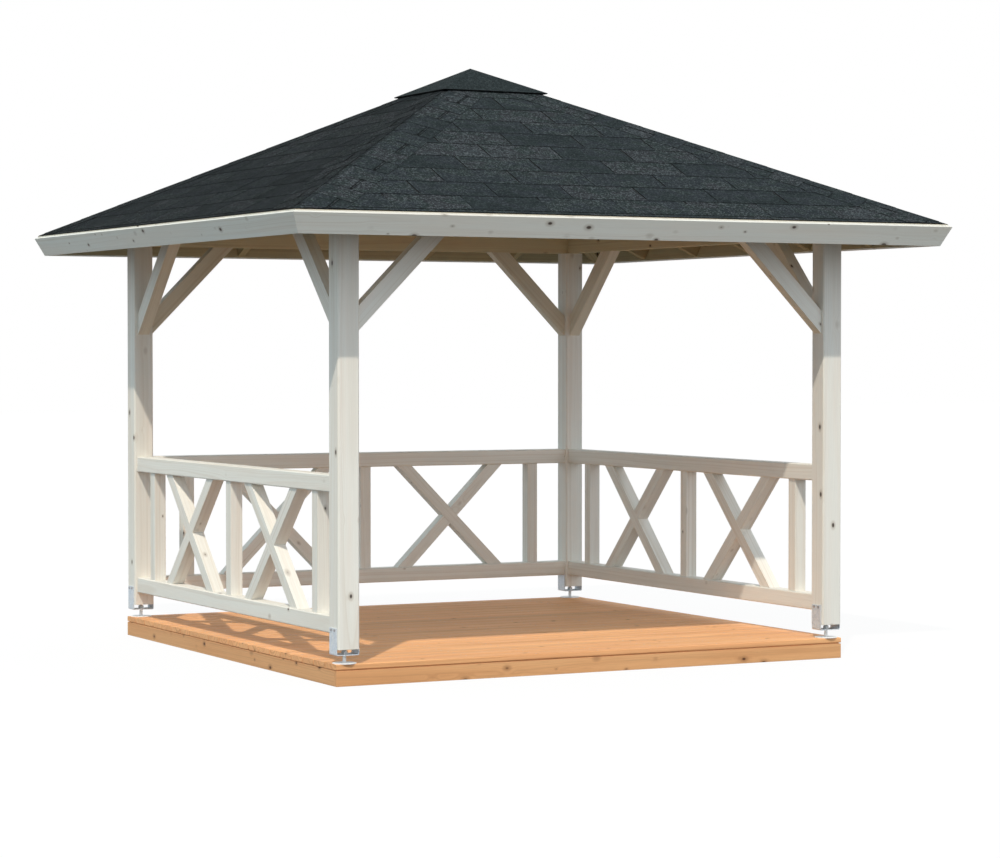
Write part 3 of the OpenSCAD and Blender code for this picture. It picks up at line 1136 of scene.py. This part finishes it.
def build_hip(graph, size):
    """Folded shingles that lap each other up a hip, each with a slot on one side or the other."""
    rows = []
    offset = (size["Course"] * len(HIP_SLOTS), 0.0, 0.0)
    for number, slot in enumerate(HIP_SLOTS):
        halves = [
            hip_strip(graph, size, size["Wing"] * -1, slot - size["Slot"] * 0.5),
            hip_strip(graph, size, slot + size["Slot"] * 0.5, size["Wing"]),
        ]
        start = (size["Start"] + size["Course"] * number, 0.0, size["Base"])
        strips = graph.copies(graph.line(size["Pairs"], start, offset), graph.joined(halves))
        mark = graph.index() * 1.7 + size["Seed"] + number * 0.43
        rows.append(graph.store(strips, "seed", mark, "FLOAT", "INSTANCE"))
    strips = graph.realized(graph.joined(rows))
    u, v, w = graph.position()
    strips = graph.store(strips, "slope", (v, u - size["Start"], w), "FLOAT_VECTOR")
    # The two slopes' painted light and shade meet across the fold
    first_side = graph.span(v, -HIP_ROUNDING, HIP_ROUNDING)
    fresh = size["Fresh after"] + (size["Fresh before"] - size["Fresh after"]) * first_side
    return graph.store(strips, "fresh", fresh)


def trim(piece, half_x, half_y):
    """Cuts a piece off square at the eaves."""
    shape = bmesh.new()
    shape.from_mesh(piece.data)
    for axis, reach in ((Vector((1, 0, 0)), half_x), (Vector((0, 1, 0)), half_y)):
        for normal in (axis, -axis):
            everything = list(shape.verts) + list(shape.edges) + list(shape.faces)
            cut = bmesh.ops.bisect_plane(
                shape, geom=everything, plane_co=normal * reach, plane_no=normal, clear_outer=True
            )
            edges = [item for item in cut["geom_cut"] if isinstance(item, bmesh.types.BMEdge)]
            if edges:
                bmesh.ops.contextual_create(shape, geom=edges)
    shape.to_mesh(piece.data)
    shape.free()


def hip_sizes(number, hip):
    return {
        "Course": HIP_COURSE,
        "Thickness": SHINGLE,
        "Wing": HIP_WING,
        "Slot": SLOT,
        "Fall": hip.fall,
        "Start": HIP_LOW_END,
        "Base": UNDERLAY_SHEET + SHINGLE * (1 + LIFT / 4),
        "Pairs": round((hip.length - HIP_LOW_END - HIP_COURSE) / (2 * HIP_COURSE)),
        "Fresh before": hip.fresh[0],
        "Fresh after": hip.fresh[1],
        "Seed": 11 * number,
    }


def hip_shingles(slopes):
    hips = [Hip(slope, slopes[(i + 1) % 4]) for i, slope in enumerate(slopes)]
    sizes = [hip_sizes(number, hip) for number, hip in enumerate(hips)]
    grower = Grower("hip_courses", sizes[0], build_hip, HIP_AND_CAP)
    edge_x = slopes[1].at(0, EAVE_SETBACK, 0).x
    edge_y = slopes[2].at(0, EAVE_SETBACK, 0).y
    for hip, own in zip(hips, sizes):
        piece = grower.piece(f"hip_shingles_{hip.name}", hip.matrix(), **own)
        trim(piece, edge_x, edge_y)
        finish_piece(piece, "roof_shingle")


def roof_cap(slopes):
    """Small pyramid over the tip, a sheet with a mineral face that stands just clear of the shingles."""
    slope = slopes[0]
    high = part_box("roof_cap")[1]
    top = (high.z - slope.tip.z) * slope.cos
    corners, faces = [], []
    for n, inset in ((top, 0.0), (top - CAP_SHEET, CAP_SHEET * slope.sin)):
        tip = slope.tip + UP * (n / slope.cos)
        x, y = high.x - inset, high.y - inset
        z = tip.z - high.y * slope.sin / slope.cos
        corners += [tip, (x, -y, z), (x, y, z), (-x, y, z), (-x, -y, z)]
    for i in range(4):
        a, b = 1 + i, 1 + (i + 1) % 4
        faces += [(0, a, b), (5, 5 + b, 5 + a), (a, 5 + a, 5 + b, b)]
    shape = solid(corners, faces)
    soften(shape, CAP_ROUNDING)
    mesh = mesh_of(shape, "cap")
    count = len(mesh.vertices)
    set_attribute(mesh, "slope", [1.0, HIP_COURSE / 2, 0.0] * count, "FLOAT_VECTOR")
    set_attribute(mesh, "seed", [3.0] * count)
    # The cap takes the front slope's painted light
    set_attribute(mesh, "fresh", [PAINTED_SLOPE_LIGHT["front"]] * count)
    finish_piece(new_piece("cap", mesh, HIP_AND_CAP), "roof_shingle", "roof_cap")


def build_roof():
    slopes = [Slope(side) for side in SIDES]
    for slope in slopes:
        roof_boards(slope)
    covering(slopes)
    hip_shingles(slopes)
    roof_cap(slopes)


# Post anchors


class Anchor:
    """Where one anchor stands and the sizes that its post and the frame give it."""

    def __init__(self, shape):
        corners = [vert.co for vert in shape.verts]
        (left, _, self.foot), (right, _, _) = extent(shape)
        ear = [point for point in corners if point.x < left + EAR_SLACK]
        middle = sum(point.y for point in corners) / len(corners)
        self.centre = Vector(((left + right) / 2, middle, 0))
        self.half_width = (right - left) / 2
        self.half_depth = max(abs(point.y - middle) for point in ear)
        self.plate_low = min(point.z for point in ear)
        self.top = max(point.z for point in ear)
        self.nut_low = self.plate_low + PLATE
        self.stem_top = self.nut_low + NUT + STEM_END


def arc(middle, radius, start, end, steps=6):
    """Points of an arc in a plane, its angles in degrees."""
    turns = [math.radians(start + (end - start) * i / steps) for i in range(steps + 1)]
    return [(middle[0] + radius * math.cos(t), middle[1] + radius * math.sin(t)) for t in turns]


def bracket(anchor):
    """U-shaped bracket, bent from one plate."""
    half, inside = anchor.half_width, BRACKET_BEND - EAR
    low, top = anchor.plate_low, anchor.top
    bend = low + BRACKET_BEND
    outline = [(-half, top)]
    outline += arc((BRACKET_BEND - half, bend), BRACKET_BEND, 180, 270)
    outline += arc((half - BRACKET_BEND, bend), BRACKET_BEND, 270, 360)
    outline += [(half, top), (half - EAR, top)]
    outline += arc((half - BRACKET_BEND, low + PLATE + inside), inside, 0, -90)
    outline += arc((BRACKET_BEND - half, low + PLATE + inside), inside, 270, 180)
    outline += [(EAR - half, top)]
    depths = (-anchor.half_depth, anchor.half_depth)
    shape = bridge(*([(x, y, z) for x, z in outline] for y in depths))
    soften(shape, BRACKET_ROUNDING, 1)
    return shape


def lathe(profile, segments):
    """A solid of revolution about Z; the profile gives radii and heights from the bottom to the top."""
    corners, faces = [], []
    for radius, height in profile:
        for i in range(segments):
            turn = 2 * math.pi * i / segments
            corners.append((radius * math.cos(turn), radius * math.sin(turn), height))
    for ring in range(len(profile) - 1):
        for i in range(segments):
            a, b = ring * segments + i, ring * segments + (i + 1) % segments
            faces.append((a, b, b + segments, a + segments))
    faces += [tuple(range(segments)), tuple(len(corners) - segments + i for i in range(segments))]
    return solid(corners, faces)


def hexagon_nut(anchor):
    shape = lathe([(NUT_RADIUS, anchor.nut_low), (NUT_RADIUS, anchor.nut_low + NUT)], 6)
    soften(shape, NUT_CHAMFER)
    return shape


def foot_disc(anchor):
    low, top = anchor.foot, anchor.foot + DISC
    edge = DISC_EDGE
    profile = [(DISC_RADIUS - edge / 2, low), (DISC_RADIUS, low + edge), (DISC_RADIUS, top - edge)]
    profile += [(DISC_RADIUS - edge, top)]
    return lathe(profile, 56)


def build_stem(graph, size):
    """Threaded rod: its radius follows a helix."""
    rod = graph.cylinder(24, size["Radius"], size["Height"], size["Rings"])
    x, y, z = graph.position()
    turn = y.math("ARCTAN2", x) / (2 * math.pi)
    tooth = abs((z / size["Pitch"] - turn).fract() - 0.5) * 2
    shrink = 1 - tooth * size["Depth"] / size["Radius"]
    return graph.set_position(rod, (x * shrink, y * shrink, z))


def build_bolt_heads(graph, size):
    """Hexagon heads on washers, in a row along Y; the heads look along X."""
    parts = []
    for vertices, radius, height, low in (
        (6, size["Radius"], size["Height"], size["Washer"]),
        (20, size["Radius"] * 1.5, size["Washer"], 0.0),
    ):
        raised = (0.0, 0.0, height * 0.5 + low)
        parts.append(graph.transformed(graph.cylinder(vertices, radius, height), Translation=raised))
    head = graph.transformed(graph.joined(parts), Rotation=(0.0, math.pi / 2, 0.0))
    return graph.row(head, size["Count"], size["Step"])


def placed(mesh, place):
    mesh.transform(place)
    return mesh


def join_meshes(name, meshes, material):
    """One piece of several plain meshes, which are used up."""
    whole = bmesh.new()
    for part in meshes:
        whole.from_mesh(part)
        bpy.data.meshes.remove(part)
    return new_piece(name, mesh_of(whole, name), material)


def anchors():
    places = [Anchor(shape) for shape in islands("post_anchors")]
    stem_sizes = {
        "Radius": STEM_RADIUS,
        "Height": places[0].stem_top - places[0].foot - DISC,
        "Pitch": THREAD,
        "Depth": THREAD_DEPTH,
        "Rings": STEM_RINGS,
    }
    stem = Grower("threaded_stem", stem_sizes, build_stem, PALE_ZINC)
    head_sizes = {
        "Radius": BOLT_RADIUS,
        "Height": BOLT_HEAD,
        "Washer": WASHER,
        "Step": BOLT_STEP,
        "Count": 2,
    }
    heads = Grower("bolt_heads", head_sizes, build_bolt_heads, BOLT_STEEL)
    brackets, feet, stems, bolts = [], [], [], []
    for anchor in places:
        centre = Matrix.Translation(anchor.centre)
        brackets.append(placed(mesh_of(bracket(anchor), "part"), centre))
        feet += [placed(mesh_of(part(anchor), "part"), centre) for part in (hexagon_nut, foot_disc)]
        half_way = Matrix.Translation(UP * ((anchor.foot + DISC + anchor.stem_top) / 2))
        stems.append(placed(stem.mesh(), centre @ half_way))
        out = Matrix.Translation((anchor.half_width, 0, anchor.top - BOLT_DROP))
        for turn in (0, math.pi):
            bolts.append(placed(heads.mesh(), centre @ Matrix.Rotation(turn, 4, "Z") @ out))
    for name, parts, material, stands_for in (
        ("anchor_brackets", brackets, ZINC, ["post_anchors"]),
        ("anchor_feet_and_nuts", feet, PALE_ZINC, []),
        ("anchor_stems", stems, PALE_ZINC, []),
        ("anchor_bolts", bolts, BOLT_STEEL, []),
    ):
        finish_piece(join_meshes(name, parts, material), "galvanised_steel", *stands_for)


# Stage, light and camera


def seen_directly(graph):
    """1 for what the camera sees itself, or in gloss or through glass."""
    ray = graph.add("ShaderNodeLightPath")
    seen = ray.out("Is Camera Ray").math("MAXIMUM", ray.out("Is Glossy Ray"))
    return seen.math("MAXIMUM", ray.out("Is Transmission Ray"))


def stage():
    mesh = bpy.data.meshes.new("floor")
    ends = (-FLOOR_REACH, FLOOR_REACH)
    mesh.from_pydata([(x, y, 0) for y in ends for x in ends], [], [(0, 1, 3, 2)])
    material, graph, shader = new_finish("pale_floor")
    graph.tree.nodes.remove(shader)
    plain = graph.add("ShaderNodeBsdfDiffuse", {"Color": FLOOR_GREY})
    glow = graph.add("ShaderNodeEmission", {"Color": WHITE, "Strength": FLOOR_GLOW})
    shown = graph.add("ShaderNodeMixShader", {0: seen_directly(graph) * FLOOR_SHARE, 1: plain, 2: glow})
    graph.feed(graph.tree.nodes["Material Output"], {"Surface": shown})
    floor = new_piece("floor", mesh, material)
    floor.location.z = -FLOOR_DROP


def sky():
    """A dome that is brighter and less blue on one side, and plain white where it is seen directly."""
    world = bpy.data.worlds.new("studio")
    bpy.context.scene.world = world
    world.use_nodes = True
    graph = Graph(world.node_tree)
    graph.tree.nodes.remove(graph.tree.nodes["Background"])
    direction = graph.add("ShaderNodeTexCoord").out("Generated")
    sides = {0: direction, 1: SKY_WARM_SIDE}
    facing = graph.add("ShaderNodeVectorMath", sides, operation="DOT_PRODUCT")
    warmth = facing.out("Value") * 0.5 + 0.5
    colour = graph.mix(warmth, (0.59, 0.74, 0.81), (0.95, 1.0, 1.06))
    dome = graph.add("ShaderNodeBackground", {"Color": colour, "Strength": SKY_STRENGTH})
    backdrop = graph.add("ShaderNodeBackground", {"Color": WHITE, "Strength": 1.0})
    shown = graph.add("ShaderNodeMixShader", {0: seen_directly(graph), 1: dome, 2: backdrop})
    graph.feed(graph.tree.nodes["World Output"], {"Surface": shown})


def sun():
    lamp = bpy.data.lights.new("key", "SUN")
    lamp.energy = SUN_STRENGTH
    lamp.color = SUN_COLOUR
    lamp.angle = SUN_ANGLE
    key = bpy.data.objects.new("key", lamp)
    key.rotation_euler = SUN_FROM.to_track_quat("Z", "Y").to_euler()
    bpy.context.scene.collection.objects.link(key)


def camera():
    data = bpy.data.cameras.new("camera")
    data.lens = CAMERA_LENS
    data.clip_end = 200.0
    view = bpy.data.objects.new("camera", data)
    view.location = CAMERA_AT
    view.rotation_euler = (math.pi / 2 + CAMERA_TILT, 0, -CAMERA_TURN)
    bpy.context.scene.collection.objects.link(view)
    bpy.context.scene.camera = view


build_frame()
build_roof()
anchors()
stage()
sky()
sun()
camera()
bpy.context.scene.view_settings.view_transform = "Standard"
